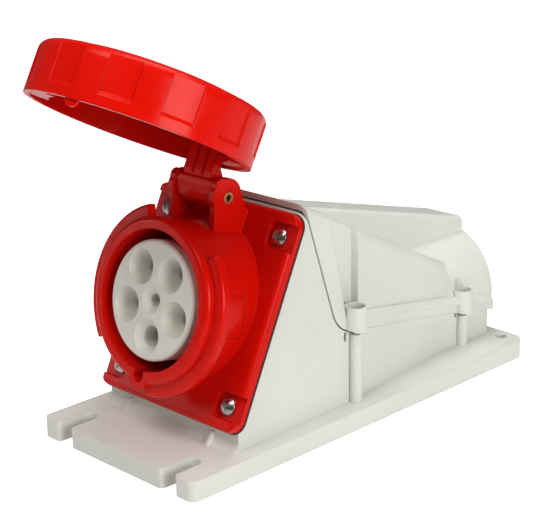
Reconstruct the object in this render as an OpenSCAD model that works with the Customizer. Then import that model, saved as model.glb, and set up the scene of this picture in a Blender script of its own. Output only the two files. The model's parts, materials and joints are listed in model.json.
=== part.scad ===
// Surface-mounted industrial socket: a grey housing in two halves, a red flanged socket body
// on its sloping front, and a hinged red lid with a bayonet lock ring, shown with the lid open.
// Origin: centre of the housing's back face. +Z leads away from the wall, -Y to the socket's mouth.

/* [Mounting plate] */
// Width of the mounting plate
plate_w = 119; // [112:1:140]
// Length of the mounting plate
plate_l = 270; // [262:1:300]
// Height of the plate's rim
plate_t = 11; // [9:0.5:14]
// Skin left over the hollows under the plate
plate_skin = 4; // [3:0.5:5]
// Corner radius at the plate's rear
plate_corner = 9; // [4:0.5:10]
// Half the distance between the front fixing slots
slot_x = 41; // [36:0.5:44]
// Corner radius at the plate's front
front_corner = 4.5; // [2:0.5:6]
// Radius at the mouths of the front fixing slots
mouth_r = 2.5; // [1:0.25:4]
// Width of the front fixing slots
slot_w = 9.5; // [7:0.5:11]
// Depth of the front fixing slots
slot_l = 21; // [14:1:24]
// Half the distance between the rear fixing holes
fix_x = 46.5; // [44:0.5:50]
// Distance of the rear fixing holes from the plate's end
fix_inset = 8; // [7:0.5:10]
// Radius of the rear fixing holes
fix_r = 3.25; // [2.5:0.05:3.5]

/* [Housing base] */
// Half width of the walls at the front
front_half = 50; // [49:0.5:52]
// Half width of the walls where the taper starts
mid_half = 48; // [47:0.5:49]
// Half width of the walls at the rear
rear_half = 36.5; // [34:0.5:40]
// Wall thickness of the base
base_wall = 3; // [2.5:0.25:4]
// Thickness of the base's floor
floor_t = 3.5; // [2.5:0.5:5]
// Height of the parting line at the front cover screws
part_z = 51; // [48:0.5:54]
// Fall of the parting line towards the rear, degrees
part_fall = 10.8; // [8:0.2:12]
// Lean of the parting line up the front, degrees
part_lean = 18.5; // [16:0.5:21]
// Radius where the two parting lines meet
part_r = 20; // [10:1:26]

/* [Cover] */
// Wall thickness of the cover
cover_wall = 2.8; // [2.2:0.2:3.6]
// Height of the cover's top along the flange
cover_top = 120; // [119:0.5:124]
// Radius along the cover's shoulders
shoulder_r = 6; // [3:0.5:9]
// Step in from the rim to the side panels
panel_step = 2.6; // [1.5:0.1:4]
// Step out of the cover's rim over the base at the rear
rim_step = 2.4; // [1:0.1:3]
// Height of the cover's rim
rim_h = 6.5; // [4:0.5:9]
// Height of the ledge above the rim
ledge_h = 4; // [2:0.5:6]
// Radius of the half barrel over the cable entry
barrel_r = 36.7; // [34:0.1:38]
// Height of the cable entry's axis
barrel_z = 36.3; // [34:0.1:38]
// Half width of the ridge on the roof
ridge_half = 14.5; // [10:0.5:20]
// Fall of the ridge towards the rear, degrees
ridge_fall = 14.3; // [12:0.1:17]
// Height of the ridge at its rear end
ridge_z = 79.5; // [77:0.5:84]
// Outer radius of the cover screw cups
cup_r = 6.4; // [5.8:0.1:7.5]
// Height of the cover screw cups
cup_h = 15; // [10:0.5:18]
// Radius of the well in a cover screw cup
well_r = 5; // [4.6:0.1:5.4]

/* [Cable entry] */
// Radius of the entry's bore
entry_r = 19.2; // [12:0.1:22]
// Radius of the boss round the entry
entry_boss_r = 28; // [25:0.5:31]
// Length of the entry's bore
entry_l = 12; // [8:1:16]

/* [Flange] */
// Lean of the flange from upright, degrees
lean = 25.5; // [22:0.5:28]
// Half width of the flange
flange_half = 52.5; // [50:0.5:54]
// Length of the flange up the slope
flange_l = 115.3; // [112:0.1:118]
// Thickness of the flange
flange_t = 6; // [5:0.5:9]
// Corner radius of the flange
flange_corner = 8; // [5:0.5:10]
// Radius of the flange's front edges
flange_round = 3; // [1:0.25:4]
// Thickness left under the flange screws
flange_seat = 3; // [2:0.25:4]
// Half the distance across the flange screws
screw_u = 41.75; // [40:0.25:44]
// Distance of the flange screws from the flange's ends
screw_v = 13; // [11:0.5:15]
// Thickness of the flange gasket
gasket_t = 1; // [0.6:0.1:2]

/* [Socket collar] */
// Height of the collar's axis up the flange
collar_v = 60.5; // [58:0.5:63]
// Tilt of the collar's axis above level, degrees
tilt = 13.3; // [10:0.1:16]
// Outer radius of the collar
collar_r = 43; // [42:0.1:44]
// Radius of the collar's bore
bore_r = 36.5; // [35.8:0.1:37.5]
// Height of the collar's mouth
mouth_h = 39; // [38:0.1:41]
// Outer radius of the bayonet lips
lip_r = 49.5; // [48:0.1:50.5]
// Height of the rear face of the bayonet lips
lip_h = 29.5; // [29.2:0.1:31]
// Thickness of the bayonet lips
lip_t = 5.5; // [4:0.1:6]
// Radius of the key groove
key_r = 3.8; // [3:0.1:4.5]

/* [Contacts] */
// Radius of the contact insert
insert_r = 31; // [30:0.1:31.8]
// Height of the insert's face
insert_h = 37.1; // [34:0.1:38]
// Radius of the circle on which the contacts stand
pitch_r = 19; // [18.5:0.1:19.5]
// Bore radius of the phase and neutral contacts
phase_bore = 4.05; // [3.5:0.05:4.3]
// Bore radius of the earth contact
earth_bore = 5.05; // [4.5:0.05:5.2]
// Bore radius of the pilot contact
pilot_bore = 3.05; // [2:0.05:3.1]
// Outer radius of the main contacts
sleeve_r = 6.6; // [6.4:0.1:7]
// Outer radius of the pilot contact
pilot_r = 4.4; // [4:0.1:4.8]
// Height at which the contacts start below the face
sleeve_top = 20; // [16:0.5:22]
// Length of the contacts' plug bore
sleeve_bore_l = 30; // [24:1:32]

/* [Hinge] */
// Distance of the hinge's axis from the collar's axis
pivot_r = 56.5; // [55.5:0.1:58]
// Height of the hinge's axis along the collar's axis
pivot_h = 10.5; // [9.5:0.1:12]
// Opening angle of the lid, degrees
lid_open = 104.9; // [95:0.1:106]
// Outer half width of the hinge ears
ear_half = 17.5; // [16:0.1:20]
// Thickness of the hinge ears
ear_t = 3.7; // [3:0.1:4.5]
// Radius of the hinge ears
ear_r = 9.6; // [8.5:0.1:10.2]
// Radius of the lid's knuckle
knuckle_r = 6.8; // [5.5:0.1:7.2]
// Outer radius of the hinge pin
pin_r = 3.1; // [2.5:0.05:3.4]
// Inner radius of the hinge pin
pin_bore = 1.75; // [1.2:0.05:2]

/* [Lid] */
// Height of the lid's rim along the collar's axis when shut
lid_seat = 24.6; // [24:0.1:25.4]
// Clearance between the bayonet lips and the lock ring's wall
ring_gap = 5.9; // [5:0.1:7]
// Height of the lock ring
ring_h = 27.6; // [26:0.1:30]
// Wall thickness of the lock ring
ring_wall = 3; // [2.4:0.1:3.4]
// Width of the lock ring's crown
crown_w = 11.8; // [10.5:0.1:12.5]
// Radius of the lock ring's shoulder
ring_round = 5.5; // [3:0.5:7]
// How far the cap stands above the lock ring
cap_rise = 1.7; // [1:0.1:3]
// Number of grip panels round the lock ring
grip_count = 12; // [8:1:16]
// Width of a grip panel, degrees
grip_arc = 16; // [10:0.5:20]
// Depth of a grip panel
grip_d = 0.9; // [0.4:0.1:1.4]
// Half width of the lid's arm
arm_half = 10.5; // [8:0.5:11.5]
// Twist that locks the ring, degrees
lock_turn = 35; // [25:1:36]

/* [Hidden] */
$fn = 96;
grey = [0.88, 0.88, 0.86];
red = [0.86, 0.06, 0.04];
black = [0.08, 0.08, 0.08];
brass = [0.80, 0.62, 0.30];
steel = [0.72, 0.72, 0.72];
insert_grey = [0.76, 0.76, 0.73];
eps = 0.05;
fit = 0.03;
seat_gap = 0.3;
// The slope's foot, and places along the housing
foot_y = -96.1;
foot_z = 20;
wall_front = foot_y + gasket_t / cos(lean);
taper_front = -17;
taper_rear = 82;
wall_rear = 129;
rear_corner = 4;
foot_r = 6;
rib_x = 32;
boss_front = [49.5, -6.2];
boss_rear = [38.2, 99.8];
pillar_r = 3.3;
part_gap = [0.45, 0.5];
base_top = cover_top - 3;
band_line_y = -23.1;
band_line_z = 106.5;
band_lean = 12.7;
pocket_rear = 1.4;
pocket_x = 39;
pocket_floor = part_z + 5;
panel_end = 86;
ridge_end = wall_rear - 1;
barrel_end = wall_rear + 1;
screw_shank = 2.1;
screw_hole = 2.3;
// The collar and what it holds, along its axis
collar_back = -14;
carrier_disc_r = collar_r - 1.5;
carrier_disc_t = 4.5;
carrier_r = insert_r + 3;
carrier_l = 22;
carrier_all = carrier_l + carrier_disc_t;
carrier_top = collar_back - carrier_disc_t;
carrier_back = carrier_top - carrier_l;
carrier_screw_r = insert_r - 4.5;
screw_bite = 9;
sleeve_back = carrier_back + 2;
terminal_h = carrier_back + 9;
wire_r = 3.6;
mains = [126, 54, -18, 198];
// Bayonet: the lips' first angle and sweep, the lugs' first angle and sweep
lips = [[108, 108], [-88, 127]];
lugs = [42, 222];
lug_arc = 30;
ring_in = lip_r + ring_gap;
ring_r = ring_in + ring_wall;
crown_r = ring_r - crown_w;
lug_in = collar_r + 2.8;
lug_t = 3.4;
// The hinge's axis in the housing's frame
collar_y = foot_y + collar_v * sin(lean);
collar_z = foot_z + collar_v * cos(lean);
pivot_y = collar_y + pivot_r * sin(tilt) - pivot_h * cos(tilt);
pivot_z = collar_z + pivot_r * cos(tilt) + pivot_h * sin(tilt);
knuckle_half = ear_half - ear_t - seat_gap;

// Frames

module on_flange() translate([0, foot_y, foot_z]) rotate([90 - lean, 0, 0]) children();

module on_collar() on_flange() translate([0, collar_v, 0]) rotate([lean - tilt, 0, 0]) children();

module on_lid() translate([0, pivot_y, pivot_z]) rotate([-lid_open, 0, 0])
    translate([0, -pivot_y, -pivot_z]) on_collar() translate([0, 0, lid_seat]) children();

// Draws a side view, its first axis along Y and its second along Z, from x0 to x1
module side_on(x0, x1) translate([x0, 0, 0]) rotate([90, 0, 90]) linear_extrude(x1 - x0) children();

module both_sides() {
    children();
    mirror([1, 0, 0]) children();
}

// Outlines

module rounded_square(x0, x1, y0, y1, r) {
    translate([x0 + r, y0]) square([x1 - x0 - 2 * r, y1 - y0]);
    translate([x0, y0 + r]) square([x1 - x0, y1 - y0 - 2 * r]);
    for (x = [x0 + r, x1 - r], y = [y0 + r, y1 - r]) translate([x, y]) circle(r);
}

// The housing's plan, drawn in by d, with step more at the rear end
module plan(d, step = 0) {
    r = max(rear_corner - d, 0.5);
    half = rear_half + step - d;
    end = wall_rear + step - d;
    front = wall_front + d;
    polygon([[-front_half + d, front], [front_half - d, front], [mid_half + step / 4 - d, taper_front],
        [half, taper_rear], [half, end - r], [-half, end - r], [-half, taper_rear],
        [-mid_half - step / 4 + d, taper_front]]);
    translate([-half + r, end - 2 * r]) square([2 * (half - r), 2 * r]);
    both_sides() translate([half - r, end - r]) circle(r);
}

// Points of a round of radius r in a corner, from heading a to heading b
function corner_arc(p, a, b, r, n = 12) =
    let (s = sign(b - a), t = r * tan(abs(b - a) / 2))
    let (c = p - t * [cos(a), sin(a)] + s * r * [-sin(a), cos(a)])
    [for (i = [0:n]) let (h = a + (b - a) * i / n) c - s * r * [-sin(h), cos(h)]];

part_high = [foot_y + cover_top * sin(lean) + 0.9, foot_z + cover_top * cos(lean) - 3];
part_run = (part_high[1] - part_z + tan(part_fall) * (part_high[0] - boss_front[1]))
    / (cos(part_lean) - tan(part_fall) * sin(part_lean));
part_corner = part_high + part_run * [sin(part_lean), -cos(part_lean)];
part_up = [for (v = [30]) part_high + v * [-sin(part_lean), cos(part_lean)]];
part_line = concat(part_up, corner_arc(part_corner, part_lean - 90, -part_fall, part_r),
    [part_corner + 200 * [cos(part_fall), -sin(part_fall)]]);

// Side view of all that lies before and under the parting line
module under_parting() polygon(concat([[-160, 200]], part_line, [[part_corner[0] + 200, -20], [-160, -20]]));

// Cross-section of the housing square to the flange's axis
module arch(half, top, r) {
    translate([-half, -180]) square([2 * half, 180 + top - r]);
    translate([-half + r, -180]) square([2 * (half - r), 180 + top]);
    both_sides() translate([half - r, top - r]) circle(r);
}

// The slope of the flange, drawn back into the housing
module arch_prism(d, top) on_flange() translate([0, 0, -300]) linear_extrude(300 - gasket_t - d)
    arch(front_half - d, top - d, max(shoulder_r + 1 - d, 1));

// Housing base

module plate_outline() {
    x = plate_w / 2;
    y = plate_l / 2;
    translate([-x, -y + front_corner]) square([2 * x, 2 * y - front_corner - plate_corner]);
    translate([-x + front_corner, -y]) square([2 * (x - front_corner), y]);
    translate([-x + plate_corner, 0]) square([2 * (x - plate_corner), y]);
    both_sides() translate([x - plate_corner, y - plate_corner]) circle(plate_corner);
    both_sides() translate([x - front_corner, -y + front_corner]) circle(front_corner);
}

module slot_outline(grow = 0) {
    both_sides() translate([slot_x, -plate_l / 2 + slot_l - slot_w / 2]) circle(slot_w / 2 + grow);
    both_sides() translate([slot_x - slot_w / 2 - grow, -plate_l / 2 - 1])
        square([slot_w + 2 * grow, slot_l - slot_w / 2 + 1]);
    // Rounded corners of the slots' mouths
    if (grow == 0) both_sides() difference() {
        translate([slot_x - slot_w / 2 - mouth_r, -plate_l / 2 - 1])
            square([slot_w + 2 * mouth_r, mouth_r + 1]);
        for (s = [-1, 1]) translate([slot_x + s * (slot_w / 2 + mouth_r), -plate_l / 2 + mouth_r])
            circle(mouth_r);
    }
}

module fixing_places() both_sides() translate([fix_x, plate_l / 2 - fix_inset]) children();

// The hollows under the plate, between its rim, the floor, the pads and the ribs
module plate_hollows() {
    edge = 3;
    rib_pitch = 34;
    difference() {
        translate([-plate_w / 2 + edge, -plate_l / 2 + edge]) square([plate_w - 2 * edge, plate_l - 2 * edge]);
        plan(-edge / 2);
        slot_outline(4);
        fixing_places() circle(fix_r + 5);
        both_sides() translate([boss_front[0], boss_front[1]]) circle(pillar_r + 2);
        both_sides() translate([plate_w / 2 - plate_corner, plate_l / 2 - plate_corner])
            square(plate_corner);
        for (y = [-plate_l / 2 + 22:rib_pitch:plate_l / 2]) translate([-plate_w / 2, y])
            square([plate_w, 2.4]);
        for (x = [-20, 0, 20]) translate([x - 1.2, -plate_l / 2]) square([2.4, 60]);
    }
}

module base_outside() intersection() {
    linear_extrude(200) plan(0);
    side_on(-100, 100) under_parting();
    arch_prism(0, base_top);
}

module base_inside() intersection() {
    translate([0, 0, floor_t]) linear_extrude(200) plan(base_wall);
    arch_prism(base_wall, base_top);
}

module cover_bosses(front_x) {
    both_sides() translate(boss_front) children(0);
    both_sides() translate(boss_rear) children(1);
}

function part_height(y) = part_corner[1] - (y - part_corner[0]) * tan(part_fall);

module pillar(y) cylinder(r = pillar_r, h = part_height(y + pillar_r));

// Side view of the hollow fillet at the front wall's foot
module foot_fillet() difference() {
    translate([wall_front - foot_r, plate_t - 1]) square([foot_r + 1, foot_r + 1]);
    translate([wall_front - foot_r, plate_t + foot_r]) circle(foot_r + 0.25);
    translate([wall_front - foot_r - 1, plate_t + foot_r]) square([foot_r + 3, 3]);
}

module base() color(grey) difference() {
    union() {
        linear_extrude(plate_t) plate_outline();
        difference() {
            base_outside();
            base_inside();
        }
        cover_bosses() {
            pillar(boss_front[1]);
            pillar(boss_rear[1]);
        }
        // Fillet where the front wall meets the plate, and two thin ribs on it
        side_on(-front_half, front_half) foot_fillet();
        both_sides() side_on(rib_x - 0.7, rib_x + 0.7) polygon([[wall_front + 1, plate_t - 1],
            [wall_front - foot_r, plate_t - 1], [wall_front - foot_r, plate_t + 0.4],
            [wall_front - 1.6, foot_z - 2.5], [wall_front + 1, foot_z - 2.5]]);
        // Posts for the flange screws
        intersection() {
            on_flange() flange_places() translate([0, 0, -16 - gasket_t]) cylinder(r = 5.5, h = 16);
            base_outside();
        }
        // Boss of the cable entry
        intersection() {
            translate([0, wall_rear, barrel_z]) rotate([90, 0, 0]) cylinder(r = entry_boss_r, h = entry_l);
            translate([-60, 0, 0]) cube([120, 200, 200]);
        }
    }
    // Inside of the tray, and what opens it
    translate([0, 0, floor_t]) linear_extrude(plate_t) intersection() {
        plan(base_wall);
        translate([-60, wall_front + 8]) square([120, wall_rear - entry_l - wall_front - 8]);
    }
    on_collar() translate([0, 0, -60]) cylinder(r = collar_r + 1.2, h = 100);
    translate([0, wall_rear + 1, barrel_z]) rotate([90, 0, 0]) cylinder(r = entry_r, h = entry_l + 2);
    on_flange() flange_places() translate([0, 0, -14]) cylinder(r = screw_shank + fit, h = 20);
    // Notches under the cover's cups
    for (p = [[boss_front, 7.6, 2.2, 5], [boss_rear, 5.2, 1.6, 3]]) both_sides()
        translate([p[0][0] - 8, p[0][1] - p[1], part_height(p[0][1]) - p[3] + 1])
            cube([12, p[2], p[3]]);
    translate([0, 0, -eps]) linear_extrude(plate_t - plate_skin + eps) plate_hollows();
    translate([0, 0, -1]) linear_extrude(plate_t + 2) slot_outline();
    fixing_places() translate([0, 0, -1]) cylinder(r = fix_r, h = plate_t + 2);
    cover_bosses() {
        translate([0, 0, part_height(boss_front[1]) - 20]) cylinder(r = screw_shank + fit, h = 30);
        translate([0, 0, part_height(boss_rear[1]) - 20]) cylinder(r = screw_shank + fit, h = 30);
    }
}

// Cover

// One end of a side panel's shoulder: a thin disc square to the slope
module shoulder_disc(half, y, top, r) {
    h = (foot_y + (top - r) * sin(lean) - y) / cos(lean);
    on_flange() translate([half - r, top - r, h]) cylinder(r = r, h = 0.2, $fn = 32);
}

// The sloping front block, drawn in by d
module cover_block(d) {
    r = max(shoulder_r - d, 1);
    top = cover_top - 0.6 - d;
    step = panel_step + d;
    hull() both_sides() {
        shoulder_disc(front_half - step, wall_front + 40, top, r);
        shoulder_disc(mid_half - step, taper_front, top, r);
        shoulder_disc(rear_half + rim_step - step, panel_end - d, top, r);
        translate([0, 0, 20]) linear_extrude(1) polygon([[0, wall_front + 40],
            [front_half - step, wall_front + 40], [mid_half - step, taper_front],
            [rear_half + rim_step - step, panel_end - d], [0, panel_end - d]]);
    }
}

// The ridge down the roof, drawn in by d
module ridge(d) intersection() {
    translate([0, ridge_end, ridge_z]) rotate([90 - ridge_fall, 0, 0]) translate([0, 0, -60])
        linear_extrude(210) arch(ridge_half - d, -d, max(2.5 - d, 0.5));
    translate([-60, foot_y + 55, 25]) cube([120, ridge_end - d - foot_y - 55, 140]);
}

module barrel(d) translate([0, barrel_end - d, barrel_z]) rotate([90, 0, 0])
    cylinder(r = barrel_r - d, h = 90);

// Side view of the front band, between the parting line and the screw pockets
module band_side() {
    slope = [sin(band_lean), -cos(band_lean)];
    start = [band_line_y, band_line_z] - 40 * slope;
    polygon([[-160, 200], start, start + 110 * slope, [-160, 0]]);
}

// Screwdriver pockets behind the band, or with grow their walls too
module pocket(grow) both_sides() difference() {
    translate([pocket_x - grow, band_line_y - 40, pocket_floor - grow])
        cube([40, pocket_rear + grow - band_line_y + 40, 90]);
    side_on(-1, 100) translate([-grow, 0]) band_side();
}

module band(d) intersection() {
    linear_extrude(200) plan(d, rim_step);
    side_on(-100, 100) band_side();
    arch_prism(d - gasket_t, cover_top);
}

// Side view of all that lies under a line h above the parting line
module under_line(h) polygon([part_corner + [-30, h + 30 * tan(part_fall)],
    part_corner + [200, h - 200 * tan(part_fall)], part_corner + [200, -100], part_corner + [-30, -100]]);

module rim_slab(h, d) intersection() {
    linear_extrude(120) plan(d, rim_step);
    side_on(-100, 100) difference() {
        under_line(h);
        under_line(h - 0.2);
    }
}

module rim(d) {
    intersection() {
        linear_extrude(120) plan(d, rim_step);
        side_on(-100, 100) under_line(rim_h - d / 2);
    }
    if (d == 0) hull() {
        rim_slab(rim_h, 0);
        rim_slab(rim_h + ledge_h, panel_step);
    }
}

module cup(y) {
    low = part_height(y);
    translate([0, 0, low - 2]) cylinder(r = cup_r, h = cup_h + 2);
}

module well(y) {
    low = part_height(y);
    translate([0, 0, low + 5]) cylinder(r = well_r, h = cup_h + 80);
    translate([0, 0, low - 20]) cylinder(r = screw_hole, h = 40);
}

module above_parting() side_on(-100, 100) difference() {
    translate([-160, -20]) square([400, 260]);
    translate(part_gap) under_parting();
}

module cover() color(grey) intersection() {
    difference() {
        union() {
            difference() {
                union() {
                    cover_block(0);
                    ridge(0);
                    barrel(0);
                    band(0);
                    rim(0);
                }
                pocket(0);
            }
            cover_bosses() {
                cup(boss_front[1]);
                cup(boss_rear[1]);
            }
        }
        difference() {
            union() {
                cover_block(cover_wall);
                ridge(cover_wall);
                barrel(cover_wall);
                band(cover_wall);
                rim(cover_wall);
            }
            pocket(cover_wall);
            cover_bosses() {
                cup(boss_front[1]);
                cup(boss_rear[1]);
            }
        }
        cover_bosses() {
            well(boss_front[1]);
            well(boss_rear[1]);
        }
        entry_arch();
    }
    above_parting();
}

// Room in the cover for the base's cable entry
module entry_arch() translate([0, wall_rear + 20, barrel_z]) rotate([90, 0, 0])
    cylinder(r = entry_boss_r + seat_gap, h = 20 + entry_l + 4);

module cover_seal() color(black) intersection() {
    side_on(-100, 100) difference() {
        translate(part_gap) under_parting();
        under_parting();
    }
    difference() {
        linear_extrude(200) plan(0.9);
        linear_extrude(200) plan(base_wall);
        on_collar() translate([0, 0, -60]) cylinder(r = collar_r + 1.2, h = 100);
        entry_arch();
    }
    arch_prism(0.9, base_top);
}

module cover_screws() color(steel) cover_bosses() {
    screw(part_height(boss_front[1]) + 5, 3.9, 2.8, 18);
    screw(part_height(boss_rear[1]) + 5, 3.9, 2.8, 18);
}

// A pan-head screw with a cross recess, its head resting at height z
module screw(z, head_r, head_h, length) translate([0, 0, z]) difference() {
    union() {
        translate([0, 0, -length]) cylinder(r = screw_shank, h = length + eps);
        intersection() {
            cylinder(r = head_r, h = head_h);
            translate([0, 0, head_h - head_r * 1.5]) sphere(r = head_r * 1.5);
        }
    }
    for (a = [0, 90]) rotate([0, 0, a + 20]) translate([-head_r * 0.55, -0.5, head_h - 1.4])
        cube([head_r * 1.1, 1, 2]);
}

// Flange and collar

module flange_outline(grow) rounded_square(-flange_half - grow, flange_half + grow, -grow, flange_l + grow,
    flange_corner);

// The flange's plate, its front edges rounded
module flange_plate() intersection() {
    linear_extrude(flange_t + 5) flange_outline(0);
    translate([0, flange_l + 10, 0]) rotate([90, 0, 0]) linear_extrude(flange_l + 20)
        rounded_square(-flange_half, flange_half, -20, flange_t, flange_round);
    translate([-flange_half - 10, 0, 0]) rotate([90, 0, 90]) linear_extrude(2 * flange_half + 20)
        rounded_square(0, flange_l, -20, flange_t, flange_round);
}

module flange_places() both_sides() for (v = [screw_v, flange_l - screw_v]) translate([screw_u, v, 0])
    children();

module flange_gasket() color(black) on_flange() translate([0, 0, -gasket_t]) difference() {
    linear_extrude(gasket_t) flange_outline(0.3);
    translate([0, 0, -1]) flange_places() cylinder(r = screw_hole, h = 4);
    translate([0, collar_v, 0]) rotate([lean - tilt, 0, 0]) translate([0, 0, -30])
        cylinder(r = collar_r + 1.2, h = 60);
}

module collar_profile() {
    difference() {
        union() {
            translate([bore_r, collar_back]) square([collar_r - bore_r, mouth_h - 3 - collar_back]);
            translate([bore_r, mouth_h - 4]) square([collar_r - 3 - bore_r, 4]);
            translate([collar_r - 3, mouth_h - 3]) circle(3);
        }
    }
}

module lip_profile() {
    r = 2;
    translate([collar_r - 1, lip_h]) square([lip_r - collar_r + 1 - r, lip_t]);
    translate([collar_r - 1, lip_h]) square([lip_r - collar_r + 1, lip_t - r]);
    translate([lip_r - r, lip_h + lip_t - r]) circle(r);
}

// One hinge ear's side view, about the hinge's axis
module ear_side() {
    translate([-0.6, 0.8]) circle(ear_r);
    translate([-4.1, 7]) circle(4);
    polygon([[-8.1, 6.4], [-11.2, -18.6], [-12.6, -30], [16, -30], [19, -12], [12, -7.5], [9.2, 1.4], [0, 9]]);
}

module socket_body() color(red) difference() {
    union() {
        difference() {
            on_flange() flange_plate();
            // Pockets for the flange screws, open to the sides
            on_flange() flange_places() {
                translate([0, 0, flange_seat]) linear_extrude(flange_t)
                    rounded_square(-6.5, 30, -7, 7, 3);
            }
        }
        on_collar() rotate_extrude() collar_profile();
        on_collar() for (l = lips) rotate([0, 0, l[0]]) rotate_extrude(angle = l[1]) lip_profile();
        // Outer bead of the key groove
        on_collar() translate([0, -collar_r + 4.2, 10]) cylinder(r = key_r + 3.4, h = mouth_h - 10);
        // Hinge ears
        both_sides() side_on(ear_half - ear_t, ear_half) translate([pivot_y, pivot_z]) ear_side();
    }
    on_collar() translate([0, 0, collar_back - 30]) cylinder(r = bore_r, h = 100);
    // Nothing of the flange or the ears reaches behind the flange, but the collar does
    on_flange() difference() {
        translate([-100, -20, -60]) cube([200, 200, 60]);
        translate([0, collar_v, 0]) rotate([lean - tilt, 0, 0]) translate([0, 0, -60])
            cylinder(r = collar_r, h = 120);
    }
    on_collar() translate([0, 0, collar_back - 40]) cylinder(r = 70, h = 40);
    on_collar() translate([0, -collar_r + 4.2, 8]) cylinder(r = key_r, h = 40);
    on_flange() flange_places() translate([0, 0, -5]) cylinder(r = screw_hole, h = 20);
    side_on(-30, 30) translate([pivot_y, pivot_z]) circle(pin_r + fit);
    // Plain recessed panel on the collar's side
    on_collar() rotate([0, 0, -15]) translate([0, 0, 12.4]) rotate_extrude(angle = 33)
        translate([collar_r - 0.7, 0]) square([3, 13]);
}

module flange_screws() color(steel) on_flange() flange_places() screw(flange_seat, 4.9, 3.2, 15);

// Contacts and their carrier

module at_main(a) rotate([0, 0, a]) translate([pitch_r, 0, 0]) children();

// A funnel from r1 at the insert's face to r2 at depth d, then a hole of r2
module lead_in(r1, r2, d) {
    grow = (r1 - r2) / d;
    translate([0, 0, insert_h - d]) cylinder(r1 = r2, r2 = r1 + grow, h = d + 1);
    translate([0, 0, sleeve_top - 1]) cylinder(r = r2, h = insert_h - d - sleeve_top + 1);
}

module contact_insert() color(insert_grey) on_collar() difference() {
    rotate_extrude() polygon([[0, collar_back], [insert_r, collar_back], [insert_r, insert_h - 1],
        [insert_r - 1, insert_h], [0, insert_h]]);
    for (a = mains) at_main(a) {
        lead_in(9.2, 5, 11);
        translate([0, 0, -60]) cylinder(r = sleeve_r + fit, h = 60 + sleeve_top);
    }
    at_main(-90) {
        lead_in(9.2, 5.6, 3.8);
        translate([0, 0, -60]) cylinder(r = sleeve_r + fit, h = 60 + sleeve_top);
    }
    lead_in(6.8, 3.4, 2.9);
    translate([0, 0, -60]) cylinder(r = pilot_r + fit, h = 60 + sleeve_top);
    carrier_places() translate([0, 0, collar_back - 1]) cylinder(r = screw_shank + fit, h = screw_bite + 2);
}

// Where the carrier is screwed to the insert
module carrier_places() for (a = [90, 234, 306]) rotate([0, 0, a]) translate([carrier_screw_r, 0, 0])
    children();

module contact_carrier() color(insert_grey) on_collar() difference() {
    union() {
        translate([0, 0, carrier_back]) cylinder(r = carrier_r, h = carrier_l + 1);
        translate([0, 0, carrier_top]) cylinder(r = carrier_disc_r, h = carrier_disc_t);
    }
    for (a = concat(mains, [-90])) at_main(a) {
        translate([0, 0, carrier_back - 1]) cylinder(r = sleeve_r + fit, h = carrier_all + 2);
        translate([0, 0, terminal_h]) rotate([0, 90, 0]) cylinder(r = 3.6, h = 30);
    }
    translate([0, 0, carrier_back - 1]) cylinder(r = pilot_r + fit, h = carrier_all + 2);
    carrier_places() translate([0, 0, carrier_back - 1]) {
        cylinder(r = screw_hole, h = carrier_all + 2);
        cylinder(r = 3.6, h = 5);
    }
}

module carrier_screws() color(steel) on_collar() carrier_places()
    translate([0, 0, carrier_back + 4]) mirror([0, 0, 1]) screw(0, 3.4, 2.6, carrier_all - 4 + screw_bite);

// A turned brass contact: plug bore in front, wire bore and screw hole behind
module main_contact(a, bore) color(brass) on_collar() at_main(a) difference() {
    translate([0, 0, sleeve_back]) cylinder(r = sleeve_r, h = sleeve_top - sleeve_back);
    translate([0, 0, sleeve_top - sleeve_bore_l]) cylinder(r = bore, h = sleeve_bore_l + 1);
    translate([0, 0, sleeve_back - 1]) cylinder(r = wire_r, h = 17);
    translate([0, 0, terminal_h]) rotate([0, 90, 0]) cylinder(r = screw_shank + fit, h = 20);
}

module contact_l1() main_contact(mains[3], phase_bore);

module contact_l2() main_contact(mains[0], phase_bore);

module contact_l3() main_contact(mains[1], phase_bore);

module contact_neutral() main_contact(mains[2], phase_bore);

module contact_earth() main_contact(-90, earth_bore);

module contact_pilot() color(brass) on_collar() difference() {
    translate([0, 0, sleeve_back]) cylinder(r = pilot_r, h = sleeve_top - sleeve_back);
    translate([0, 0, sleeve_top - 20]) cylinder(r = pilot_bore, h = 21);
    translate([0, 0, sleeve_back - 1]) cylinder(r = 2, h = 13);
}

module terminal_screws() color(steel) on_collar() for (a = concat(mains, [-90])) at_main(a)
    translate([0, 0, terminal_h]) rotate([0, 90, 0]) translate([0, 0, wire_r])
        union() {
            cylinder(r = screw_shank, h = 6);
            translate([0, 0, 4.2]) difference() {
                cylinder(r = 3.2, h = 4);
                translate([-4, -0.5, 2.6]) cube([8, 1, 2]);
            }
        }

// Hinge and lid

module hinge_pin() color(brass) side_on(-ear_half - 0.4, ear_half + 0.4) translate([pivot_y, pivot_z])
    difference() {
        circle(pin_r);
        circle(pin_bore);
    }

grip_low = 6;
cap_low = mouth_h - lid_seat + seat_gap;
seal_t = 3;
lip_under = ring_h - 3;
lip_fillet = 1.4;
cap_flange_t = 2.2;
cap_flange_r = ring_in - lip_fillet - seat_gap;
flange_low = lip_under - seat_gap - cap_flange_t;
cap_top = ring_h + cap_rise;
seal_in = bore_r - 1.8;
seal_out = collar_r + 0.9;
holder_in = seal_in - 1.7;
holder_out = seal_out + 1.5;
arm_out = ring_in - 3.6;

// The arm's side view: first axis away from the lid's axis, second along it, from the lid's rim
module arm_side() {
    knuckle = [pivot_r, pivot_h - lid_seat];
    polygon([[lug_in + 0.6, flange_low + 1], [arm_out, flange_low + 1], [arm_out, -1.4],
        knuckle + [knuckle_r * 0.7, knuckle_r * 0.5], knuckle + [-knuckle_r * 0.2, -knuckle_r * 0.5],
        knuckle + [-knuckle_r * 0.85, -knuckle_r * 0.2], [lug_in + 0.6, -5]]);
}

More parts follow.
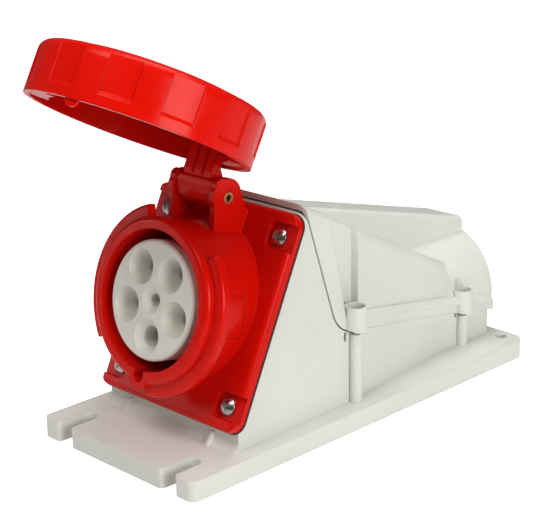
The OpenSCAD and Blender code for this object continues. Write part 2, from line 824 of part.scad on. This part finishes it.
// The block at the arm's foot, which fills the room between the ears
module block_side() translate([pivot_r, pivot_h - lid_seat]) polygon([[-3, -3.6], [-5.7, -5.1], [-8.2, -1.4],
    [-9.7, 2.6], [-9.9, 5], [-8.9, 6.6], [-6, 8], [-1.6, 9.3], [1, 8.7], [3.6, 6], [3, 2]]);

module lid_cap() color(red) on_lid() difference() {
    union() {
        rotate_extrude() {
            translate([0, cap_top - 3]) square([crown_r - 0.4 - 1.5, 3]);
            translate([0, cap_top - 3]) square([crown_r - 0.4, 1.5]);
            translate([crown_r - 0.4 - 1.5, cap_top - 1.5]) circle(1.5);
            translate([crown_r - 3.4, flange_low]) square([3, cap_top - 3 - flange_low + eps]);
            translate([holder_in, flange_low]) square([cap_flange_r - holder_in, cap_flange_t]);
            translate([holder_in, cap_low + seal_t])
                square([holder_out - holder_in, flange_low - cap_low - seal_t + eps]);
            translate([seal_out + 0.1, cap_low + 1]) square([holder_out - seal_out - 0.1, seal_t]);
            translate([holder_in, cap_low + 1]) square([seal_in - holder_in - 0.1, seal_t]);
        }
        // Stiffening ribs under the crown
        for (a = [0:60:120]) rotate([0, 0, a]) translate([-holder_in - 1, -1, flange_low])
            cube([2 * holder_in + 2, 2, cap_top - 3 - flange_low + eps]);
        // Arm, block and knuckle
        side_on(-arm_half, arm_half) arm_side();
        side_on(-knuckle_half, knuckle_half) block_side();
        translate([-knuckle_half, pivot_r, pivot_h - lid_seat]) rotate([0, 90, 0])
            cylinder(r = knuckle_r, h = 2 * knuckle_half);
    }
    translate([-30, pivot_r, pivot_h - lid_seat]) rotate([0, 90, 0]) cylinder(r = pin_r + 0.08, h = 60);
    // Grooves down the arm
    for (x = [-3.6, 3.6]) translate([x - 1, lug_in, -8]) cube([2, 1.6, 26]);
}

module lid_seal() color(black) on_lid() rotate_extrude()
    translate([seal_in, cap_low]) square([seal_out - seal_in, seal_t]);

module ring_profile() {
    difference() {
        union() {
            square([ring_r, ring_h - ring_round]);
            square([ring_r - ring_round, ring_h]);
            translate([ring_r - ring_round, ring_h - ring_round]) circle(ring_round);
        }
        square([ring_in, lip_under]);
        square([crown_r, ring_h + 1]);
    }
    translate([ring_in - lip_fillet, lip_under - lip_fillet]) difference() {
        square([lip_fillet + eps, lip_fillet + eps]);
        circle(lip_fillet);
    }
}

module lock_ring() color(red) on_lid() difference() {
    union() {
        rotate_extrude() ring_profile();
        // Bayonet lugs
        for (a = lugs) rotate([0, 0, a]) rotate_extrude(angle = lug_arc)
            translate([lug_in, 0.9]) square([ring_in - lug_in + 1, lug_t]);
        // Locating tab under the rim
        rotate([0, 0, -77]) translate([ring_in + 1.2, 0, 0]) rotate([0, 90, 0])
            translate([0, 0, -2]) cylinder(r = 3.6, h = 2);
    }
    for (i = [0:grip_count - 1]) rotate([0, 0, i * 360 / grip_count - 86 - grip_arc / 2])
        rotate_extrude(angle = grip_arc) translate([ring_r, grip_low])
            polygon([[-grip_d, 0.8], [grip_d, -2.4], [4, -2.4], [4, ring_h], [-grip_d, ring_h]]);
}

base();
cover();
cover_seal();
cover_screws();
flange_gasket();
socket_body();
flange_screws();
contact_insert();
contact_carrier();
carrier_screws();
contact_l1();
contact_l2();
contact_l3();
contact_neutral();
contact_earth();
contact_pilot();
terminal_screws();
hinge_pin();
lid_cap();
lid_seal();
lock_ring();
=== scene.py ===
import json
import math
import bpy
from mathutils import Matrix, Vector

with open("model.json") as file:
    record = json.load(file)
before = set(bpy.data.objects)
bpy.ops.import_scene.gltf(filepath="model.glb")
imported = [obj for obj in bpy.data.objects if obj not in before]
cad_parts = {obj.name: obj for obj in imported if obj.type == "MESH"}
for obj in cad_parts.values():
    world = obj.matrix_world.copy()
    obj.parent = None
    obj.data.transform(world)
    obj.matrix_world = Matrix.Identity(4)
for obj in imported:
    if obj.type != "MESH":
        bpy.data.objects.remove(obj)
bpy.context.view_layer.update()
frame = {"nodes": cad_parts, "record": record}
nodes = frame["nodes"]
scene = bpy.context.scene

# Lengths are in metres and lamp powers in watts
FLOOR_HALF = 4.0
FLOOR_GLOW = (0.4, 1.6, 0.75, 1.0)      # from this far to that far, the glow that the camera sees
WORLD_LIGHT, WORLD_SEEN = 0.07, 1.0
LAMPS = {                               # place, aim, size, power
    "key": ((0.05, -0.68, 1.4), (0, -0.02, 0.08), (0.9, 0.9), 14),
    "back": ((0, 0.45, 1.3), (0, 0, 0), (0.8, 0.8), 6),
    "side": ((1.35, -0.25, 0.5), (0, 0, 0.07), (0.7, 0.6), 11),
    "left": ((-1.2, -1.0, 0.35), (0, -0.05, 0.08), (0.4, 0.5), 1.5),
}
# The camera that was fitted to the photograph
PHOTO_WIDTH, FOCAL_LENGTH = 536, 1539.39    # pixels
SENSOR_WIDTH = 36                           # millimetres
CAMERA_PLACE = (0.56607, -0.58047, 0.34117)
AZIMUTH, ELEVATION, ROLL = (math.radians(a) for a in (45.42, 17.89, -0.97))


# Node trees

def new_material(name):
    mat = bpy.data.materials.new(name)
    mat.use_nodes = True
    tree = mat.node_tree
    return mat, tree, tree.nodes["Principled BSDF"]


def add(tree, kind, **values):
    node = tree.nodes.new(kind)
    for key, value in values.items():
        if hasattr(node, key):
            setattr(node, key, value)
        else:
            node.inputs[key].default_value = value
    return node


def noise(tree, scale, detail=2.0, stretch=None):
    """Noise in the part's own coordinates, scale in cells per metre."""
    coords = add(tree, "ShaderNodeTexCoord")
    out = coords.outputs["Object"]
    if stretch:
        mapping = add(tree, "ShaderNodeMapping")
        mapping.inputs["Scale"].default_value = stretch
        tree.links.new(out, mapping.inputs["Vector"])
        out = mapping.outputs["Vector"]
    tex = add(tree, "ShaderNodeTexNoise", Scale=scale, Detail=detail, Roughness=0.55)
    tree.links.new(out, tex.inputs["Vector"])
    return tex.outputs["Fac"]


def ramp(tree, fac, low, high, a, b):
    """Colour from a to b as fac goes from low to high."""
    node = add(tree, "ShaderNodeValToRGB")
    node.color_ramp.elements[0].position = low
    node.color_ramp.elements[0].color = (*a, 1)
    node.color_ramp.elements[1].position = high
    node.color_ramp.elements[1].color = (*b, 1)
    tree.links.new(fac, node.inputs["Fac"])
    return node.outputs["Color"]


def spread(tree, fac, low, high, to_low, to_high):
    """A number from to_low to to_high as fac goes from low to high."""
    node = add(tree, "ShaderNodeMapRange")
    for key, value in zip(("From Min", "From Max", "To Min", "To Max"), (low, high, to_low, to_high)):
        node.inputs[key].default_value = value
    tree.links.new(fac, node.inputs["Value"])
    return node.outputs["Result"]


def relief(tree, shader, layers, edge):
    """Bump layers as (height, strength, distance) on top of softly rounded edges."""
    bevel = add(tree, "ShaderNodeBevel", samples=6, Radius=edge)
    normal = bevel.outputs["Normal"]
    for height, strength, distance in layers:
        bump = add(tree, "ShaderNodeBump", Strength=strength, Distance=distance)
        tree.links.new(height, bump.inputs["Height"])
        tree.links.new(normal, bump.inputs["Normal"])
        normal = bump.outputs["Normal"]
    tree.links.new(normal, shader.inputs["Normal"])


def moulded(name, dark, light, rough, grain, edge, waves=0.00004, specular=0.4, tint=(1, 1, 1)):
    """Injection-moulded plastic: faint tone drift, fine spark-eroded grain and slightly wavy walls."""
    mat, tree, shader = new_material(name)
    drift = noise(tree, 22, 3)
    fine = noise(tree, 2600, 2)
    slow = noise(tree, 24, 0)
    flow = noise(tree, 90, 4, (1, 0.25, 1))
    tree.links.new(ramp(tree, drift, 0.35, 0.7, dark, light), shader.inputs["Base Color"])
    uneven = spread(tree, flow, 0.3, 0.7, rough - 0.05, rough + 0.06)
    tree.links.new(uneven, shader.inputs["Roughness"])
    shader.inputs["Specular IOR Level"].default_value = specular
    shader.inputs["Specular Tint"].default_value = (*tint, 1)
    relief(tree, shader, [(slow, 0.4, waves), (fine, grain, 0.00003)], edge)
    return mat


def metal(name, colour, rough, lines, stretch):
    """Turned or rolled metal: fine lines along the part and patches of duller colour."""
    mat, tree, shader = new_material(name)
    shader.inputs["Metallic"].default_value = 1.0
    brushed = noise(tree, lines, 2, stretch)
    patch = noise(tree, 160, 3)
    shade = tuple(c * 0.82 for c in colour)
    tree.links.new(ramp(tree, patch, 0.35, 0.65, shade, colour), shader.inputs["Base Color"])
    uneven = spread(tree, brushed, 0.3, 0.7, rough - 0.06, rough + 0.08)
    tree.links.new(uneven, shader.inputs["Roughness"])
    relief(tree, shader, [(brushed, 0.12, 0.00002)], 0.0003)
    return mat


def rubber(name, colour):
    """Seal rubber with a faint pale bloom."""
    mat, tree, shader = new_material(name)
    bloom = noise(tree, 260, 4)
    fine = noise(tree, 3000, 2)
    pale = tuple(c * 1.9 + 0.004 for c in colour)
    tree.links.new(ramp(tree, bloom, 0.4, 0.75, colour, pale), shader.inputs["Base Color"])
    tree.links.new(spread(tree, bloom, 0.3, 0.7, 0.55, 0.72), shader.inputs["Roughness"])
    relief(tree, shader, [(fine, 0.3, 0.00004)], 0.0002)
    return mat


def red(name, dark, light):
    return moulded(name, dark, light, 0.22, 0.05, 0.0007, 0.00003, 0.25, (1, 0.5, 0.45))


housing = moulded("housing_grey", (0.685, 0.69, 0.63), (0.725, 0.73, 0.67), 0.40, 0.22, 0.0007)
# painted light and shade: the two reds below are one red in a darker and a lighter copy. The darker
# one on the body parts is painted shade for the lid's shadow over flange and collar, and the lighter
# one on the lid is painted light
shell = red("shell_red", (0.585, 0.004, 0.001), (0.645, 0.005, 0.002))
lid_red_lit_copy = red("lid_red_lit_copy", (0.675, 0.005, 0.001), (0.735, 0.006, 0.002))
insert = moulded("insert_grey", (0.66, 0.65, 0.575), (0.71, 0.70, 0.62), 0.48, 0.2, 0.0004)
steel = metal("screw_steel", (0.50, 0.49, 0.48), 0.24, 500, (1, 1, 0.3))
brass = metal("contact_brass", (0.80, 0.61, 0.33), 0.28, 900, (1, 0.2, 1))
pin = metal("pin_brass", (0.83, 0.60, 0.27), 0.30, 900, (0.1, 1, 1))
black = rubber("seal_black", (0.012, 0.012, 0.012))
finishes = {"housing_grey": housing, "shell_red": shell, "insert_grey": insert, "seal_black": black,
            "screw_steel": steel, "contact_brass": brass, "pin_brass": pin}
lit_copy_nodes = ("lid_cap", "lock_ring")     # the lid's parts take the lighter copy of the red as painted light
for part in frame["record"]["subparts"]:
    obj = nodes[part["node"]]
    obj.data.materials.clear()
    obj.data.materials.append(lid_red_lit_copy if part["node"] in lit_copy_nodes else finishes[part["material_slot"]])


# Floor, world and lamps

def seen_directly(tree):
    """1 for a ray from the camera, also through a clear surface, and 0 for light and reflections."""
    path = add(tree, "ShaderNodeLightPath")
    seen = add(tree, "ShaderNodeMath", operation="MAXIMUM")
    tree.links.new(path.outputs["Is Camera Ray"], seen.inputs[0])
    tree.links.new(path.outputs["Is Transmission Ray"], seen.inputs[1])
    return seen.outputs[0]


def pale_stage():
    """A white floor that keeps the part's soft shadow, and a white world around it."""
    mesh = bpy.data.meshes.new("floor")
    h = FLOOR_HALF
    mesh.from_pydata([(-h, -h, 0), (h, -h, 0), (h, h, 0), (-h, h, 0)], [], [(0, 1, 2, 3)])
    floor = bpy.data.objects.new("floor", mesh)
    scene.collection.objects.link(floor)
    mat, tree, shader = new_material("floor_white")
    shader.inputs["Base Color"].default_value = (0.9, 0.9, 0.9, 1)
    shader.inputs["Roughness"].default_value = 0.9
    shader.inputs["Emission Color"].default_value = (1, 1, 1, 1)
    coords = add(tree, "ShaderNodeTexCoord")
    far = add(tree, "ShaderNodeVectorMath", operation="LENGTH")
    tree.links.new(coords.outputs["Object"], far.inputs[0])
    glow = add(tree, "ShaderNodeMath", operation="MULTIPLY")
    tree.links.new(spread(tree, far.outputs["Value"], *FLOOR_GLOW), glow.inputs[1])
    tree.links.new(seen_directly(tree), glow.inputs[0])
    tree.links.new(glow.outputs[0], shader.inputs["Emission Strength"])
    mesh.materials.append(mat)
    world = bpy.data.worlds.new("world")
    scene.world = world
    world.use_nodes = True
    tree = world.node_tree
    background = tree.nodes["Background"]
    background.inputs["Color"].default_value = (1, 1, 1, 1)
    level = add(tree, "ShaderNodeMapRange")
    level.inputs["To Min"].default_value = WORLD_LIGHT
    level.inputs["To Max"].default_value = WORLD_SEEN
    tree.links.new(seen_directly(tree), level.inputs["Value"])
    tree.links.new(level.outputs["Result"], background.inputs["Strength"])


def lamp(name, place, aim, size, power):
    data = bpy.data.lights.new(name, "AREA")
    data.shape = "RECTANGLE"
    data.size, data.size_y = size
    data.energy = power
    obj = bpy.data.objects.new(name, data)
    obj.location = place
    obj.rotation_mode = "QUATERNION"
    obj.rotation_quaternion = (Vector(aim) - Vector(place)).to_track_quat("-Z", "Y")
    scene.collection.objects.link(obj)


pale_stage()
for name, values in LAMPS.items():
    lamp(name, *values)

# Camera

back = Vector((math.sin(AZIMUTH) * math.cos(ELEVATION), -math.cos(AZIMUTH) * math.cos(ELEVATION),
               math.sin(ELEVATION)))
right = Vector((math.cos(AZIMUTH), math.sin(AZIMUTH), 0))
over = back.cross(right)
across = right * math.cos(ROLL) + over * math.sin(ROLL)
upward = over * math.cos(ROLL) - right * math.sin(ROLL)
camera = bpy.data.cameras.new("camera")
camera.sensor_width = SENSOR_WIDTH
camera.lens = SENSOR_WIDTH * FOCAL_LENGTH / PHOTO_WIDTH
camera.clip_start, camera.clip_end = 0.01, 20
viewer = bpy.data.objects.new("camera", camera)
scene.collection.objects.link(viewer)
turn = Matrix((across, upward, back)).transposed().to_4x4()
viewer.matrix_world = Matrix.Translation(CAMERA_PLACE) @ turn
scene.camera = viewer

scene.view_settings.view_transform = "Standard"
